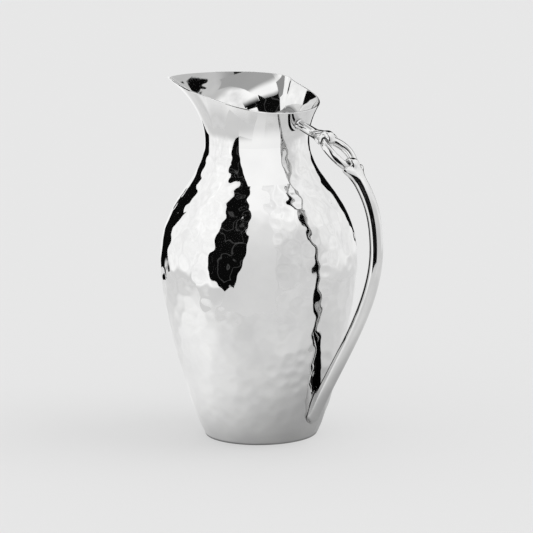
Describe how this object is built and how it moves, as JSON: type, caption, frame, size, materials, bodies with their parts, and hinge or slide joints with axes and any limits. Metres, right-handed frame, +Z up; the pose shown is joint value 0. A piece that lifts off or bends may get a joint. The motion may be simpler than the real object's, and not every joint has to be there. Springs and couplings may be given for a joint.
{
  "type": "water pitcher",
  "caption": "Tall hammered metal water pitcher with a smooth flared lip, a long pointed spout and a bowed handle joined to the neck by an oval link.",
  "frame": {"origin": "centre of the foot, on the surface that the pitcher stands on, on the vessel's own axis", "axes": "+Z up along the vessel's axis; +X from the axis towards the handle, so the spout points along -X; +Y completes a right-handed frame and is the direction across the plane of symmetry"},
  "size_m": [0.2115, 0.15, 0.2695],
  "materials": {
    "hammered_metal": "mirror-polished sheet with soft overlapping hammer dimples",
    "polished_metal": "smooth mirror polish",
    "cast_metal": "cast and mirror-polished, edges softened by buffing",
    "satin_metal": "fine circular satin",
    "weld_metal": "weld fillet, ground and buffed"
  },
  "bodies": {
    "root": {"body_shell": "hammered_metal", "spout_collar": "polished_metal", "base_disc": "satin_metal", "base_seam": "weld_metal", "upper_arm": "cast_metal", "link_ring": "cast_metal", "lower_arm": "cast_metal", "upper_weld": "weld_metal", "lower_weld": "weld_metal"}
  },
  "joints": []
}
